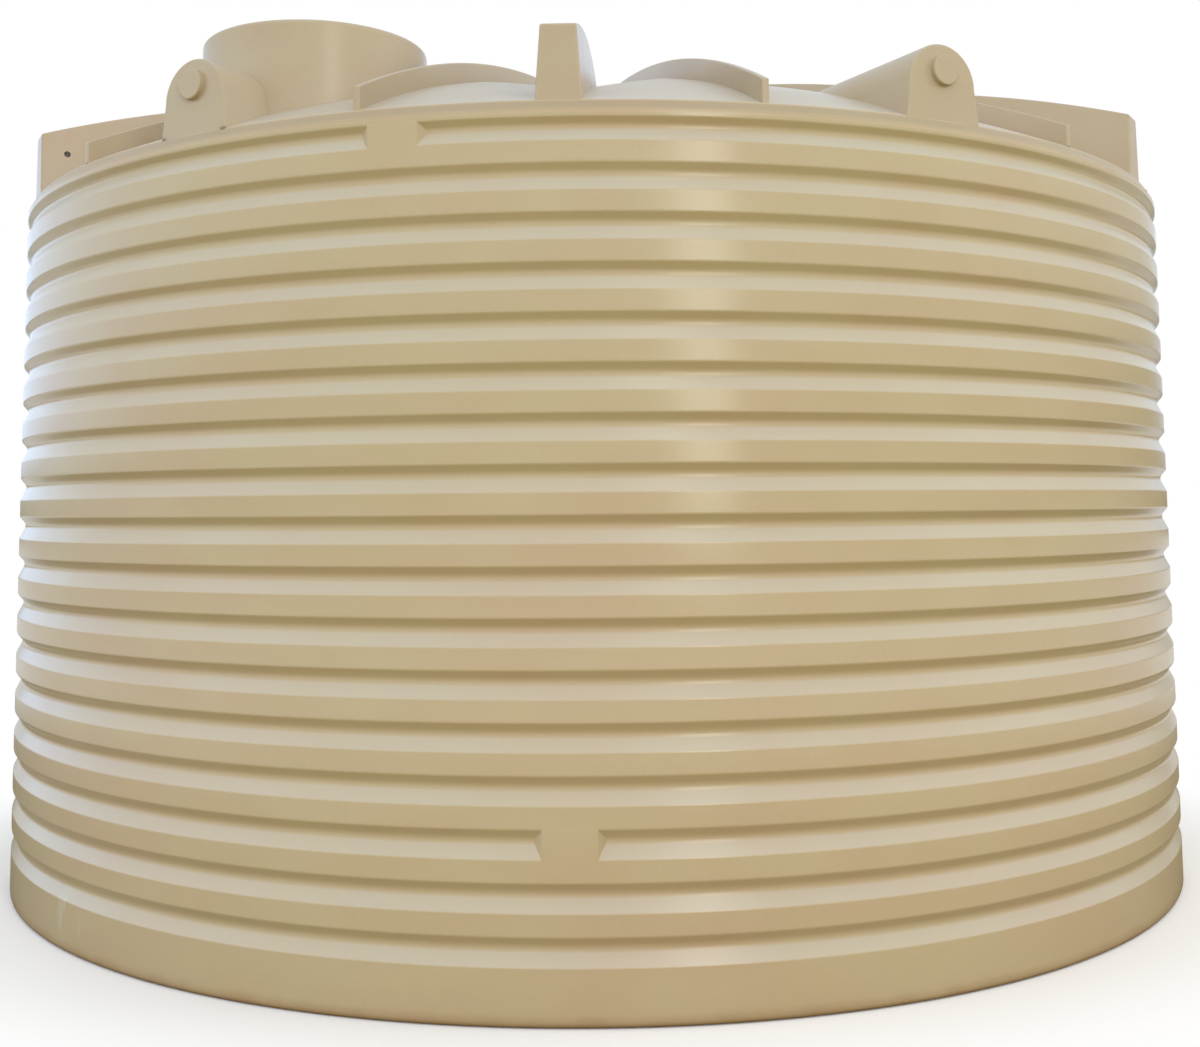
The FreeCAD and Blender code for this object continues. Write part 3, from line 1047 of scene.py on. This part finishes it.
def skin_group():
    """Height and roughness of the moulded skin: a slight waviness, orange peel and worn patches."""
    wave_height, peel_height = 8.0, 0.15
    group, made = new_group("Moulded Skin", ["Height", "Rough"])
    wave = noise(group, scale=5.0, detail=0.0, stretch=(1, 1, 1.4))
    peel = noise(group, scale=140.0, detail=1.0)
    worn = noise(group, scale=4.0, detail=2.0, stretch=(1, 1, 0.7))
    height = arithmetic(group, "ADD", times(group, wave, wave_height), times(group, peel, peel_height))
    put(group, height, made["Height"])
    put(group, blend_range(group, worn, 0.3, 0.7, -0.02, 0.03), made["Rough"])
    return group


def use_group(tree, name, build):
    """Place a node group in a tree; the group is built the first time."""
    node = tree.nodes.new("ShaderNodeGroup")
    node.node_tree = bpy.data.node_groups.get(name) or build()
    return node


def plastic_base(name, roughness, bloom_and_sky_light_amount, least_tilt, full_tilt):
    """Cream polyethylene: colour, chalk and painted sky light, roughness and skin; gives the material, its
    shader and colour.
    """
    bloom_roughness = 0.08
    material = bpy.data.materials.new(name)
    material.use_nodes = True
    tree = material.node_tree
    shader = tree.nodes["Principled BSDF"]
    moulded = use_group(tree, "Moulded Colour", colour_group)
    bloom_and_sky_light = use_group(tree, "Chalk And Painted Sky Light", bloom_and_sky_light_group)
    skin = use_group(tree, "Moulded Skin", skin_group)
    bloom_and_sky_light.inputs["Amount"].default_value = bloom_and_sky_light_amount
    bloom_and_sky_light.inputs["Least Tilt"].default_value = least_tilt
    bloom_and_sky_light.inputs["Full Tilt"].default_value = full_tilt
    mask = bloom_and_sky_light.outputs["Mask"]
    rough = arithmetic(tree, "ADD", skin.outputs["Rough"], roughness)
    rough = arithmetic(tree, "ADD", rough, times(tree, mask, bloom_roughness), clamp=True)
    put(tree, rough, shader.inputs["Roughness"])
    inputs = (("Strength", 0.07), ("Distance", 0.0010), ("Height", skin.outputs["Height"]))
    put(tree, make(tree, "ShaderNodeBump", "Normal", inputs), shader.inputs["Normal"])
    shader.inputs["IOR"].default_value = 1.5
    # Faces that look up are paler: partly chalk, partly painted sky light.
    return material, shader, mix_colour(tree, mask, moulded.outputs["Color"], finish_of().bloom_and_sky_light)


def wall_material():
    """Wall plastic, bleached upwards, with soil splashed along its foot and rubbed places low down."""
    bleach_starts, bleach_ends, bleach_most = 0.4, 1.9, 0.7
    splash, soil_foot, soil_most, dust_most = 0.003, -0.004, 0.70, 0.08
    scuff_inside, scuff_outside, scuff_most = 0.035, 0.085, 0.55
    finish = finish_of()
    material, shader, tint = plastic_base(
        "Wall polyethylene", finish.wall_roughness, finish.wall_bloom_and_sky_light, least_tilt=0.15, full_tilt=0.60)
    tree = material.node_tree
    place = object_place(tree)
    height = split(tree, place)["Z"]
    bleached = blend_range(tree, height, bleach_starts, bleach_ends, 0.0, bleach_most)
    tint = mix_colour(tree, bleached, tint, mix_colour(tree, 1.0, tint, finish.bleach, "MULTIPLY"))
    uneven = blend_range(tree, noise(tree, scale=9.0, detail=3.0), 0.3, 0.7, -splash, splash)
    edge = arithmetic(tree, "ADD", height, uneven)
    top = finish.soil_height
    for foot, high, most in ((0.0, 3 * top, dust_most), (soil_foot, top, soil_most)):
        tint = mix_colour(tree, blend_range(tree, edge, foot, high, most, 0.0), tint, finish.soil)
    rubs = noise(tree, scale=20.0, detail=2.0, stretch=(1, 1, 0.35))
    near = measure(tree, "DISTANCE", place, SCUFF_PLACE)
    scuff = times(tree, blend_range(tree, rubs, 0.46, 0.62, 0.0, scuff_most),
                  blend_range(tree, near, scuff_inside, scuff_outside, 1.0, 0.0))
    put(tree, mix_colour(tree, scuff, tint, finish.scuff), shader.inputs["Base Color"])
    return material


def roof_material():
    """Roof plastic, with chalk and painted sky light on faces that look up, and painted shade on the leaning
    band.
    """
    lean_run, rim_run = 0.016, 0.006
    shape = shape_of()
    finish = finish_of()
    material, shader, tint = plastic_base(
        "Roof polyethylene", finish.roof_roughness, finish.roof_bloom_and_sky_light, least_tilt=0.60, full_tilt=0.88)
    tree = material.node_tree
    height = split(tree, object_place(tree))["Z"]
    rim = rim_level(shape)
    # Painted shade on the leaning band, from the joint with the wall up to the rim.
    leaning = blend_range(tree, height, shape.wall_top, shape.wall_top + lean_run)
    band = times(tree, leaning, blend_range(tree, height, rim - rim_run, rim, 1.0, 0.0))
    band_shaded = mix_colour(tree, 1.0, tint, finish.band_painted_shade, "MULTIPLY")
    put(tree, mix_colour(tree, band, tint, band_shaded), shader.inputs["Base Color"])
    return material


def fitting_material():
    """Plastic of the fins, lugs, ribs and neck, and of the tank's floor, darker and cooler as painted shade,
    with painted shadow at some feet.
    """
    name = "Fitting polyethylene"
    if name in bpy.data.materials:
        return bpy.data.materials[name]
    shadow_inside, shadow_outside, shadow_most = 0.005, 0.018, 0.8
    shadow_low, shadow_high = -0.001, 0.007
    shape = shape_of()
    finish = finish_of()
    material, shader, tint = plastic_base(
        name, finish.fitting_roughness, finish.fitting_bloom_and_sky_light, least_tilt=0.40, full_tilt=0.95)
    tree = material.node_tree
    # Painted shade: the fittings are made darker and cooler.
    tint = mix_colour(tree, 1.0, tint, finish.fitting_painted_shade, "MULTIPLY")
    x, y, z = split(tree, object_place(tree))
    front = times(tree, arithmetic(tree, "ABSOLUTE", y, 0.0), -1.0)
    folded = make(tree, "ShaderNodeCombineXYZ", "Vector", enumerate((x, front, z)))
    # Painted shadow at the feet of the lugs and ribs, just over the rim.
    foot_shadow = 0.0
    for bearing, across in SHADOWED_FEET:
        near = measure(tree, "DISTANCE", folded, rim_place(shape, bearing, across))
        shadow_spot = blend_range(tree, near, shadow_inside, shadow_outside, shadow_most, 0.0)
        foot_shadow = arithmetic(tree, "MAXIMUM", shadow_spot, foot_shadow)
    rim = rim_level(shape)
    foot_shadow = times(tree, foot_shadow, blend_range(tree, z, rim + shadow_low, rim + shadow_high, 1.0, 0.0))
    put(tree, mix_colour(tree, foot_shadow, tint, finish.painted_foot_shadow), shader.inputs["Base Color"])
    return material


PIECE_OPERATORS = (
    TANK_OT_make_wall,
    TANK_OT_make_roof,
    TANK_OT_make_fins,
    TANK_OT_make_lugs,
    TANK_OT_make_ribs,
    TANK_OT_make_neck,
    TANK_OT_finish_floor,
    TANK_OT_make_stage,
)


class TANK_PT_sidebar(bpy.types.Panel):
    """The tank's pieces and sizes"""
    bl_idname = "TANK_PT_sidebar"
    bl_label = "Rainwater Tank"
    bl_space_type = "VIEW_3D"
    bl_region_type = "UI"
    bl_category = "Tank"

    def draw(self, context):
        for operator in PIECE_OPERATORS:
            self.layout.operator(operator.bl_idname)
        for settings in (context.scene.tank_shape, context.scene.tank_finish, context.scene.tank_stage):
            for name in settings.__annotations__:
                self.layout.prop(settings, name)


CLASSES = (TankShape, TankFinish, TankStage) + PIECE_OPERATORS + (TANK_PT_sidebar,)


def register():
    for cls in CLASSES:
        bpy.utils.register_class(cls)
    bpy.types.Scene.tank_shape = PointerProperty(type=TankShape)
    bpy.types.Scene.tank_finish = PointerProperty(type=TankFinish)
    bpy.types.Scene.tank_stage = PointerProperty(type=TankStage)


def unregister():
    del bpy.types.Scene.tank_stage
    del bpy.types.Scene.tank_finish
    del bpy.types.Scene.tank_shape
    for cls in reversed(CLASSES):
        bpy.utils.unregister_class(cls)


def main():
    register()
    clear_selection()
    bpy.ops.tank.make_wall()
    bpy.ops.tank.make_roof()
    bpy.ops.tank.make_fins()
    bpy.ops.tank.make_lugs()
    bpy.ops.tank.make_ribs()
    bpy.ops.tank.make_neck()
    bpy.ops.tank.finish_floor()
    bpy.ops.tank.make_stage()


if __name__ == "__main__":
    main()
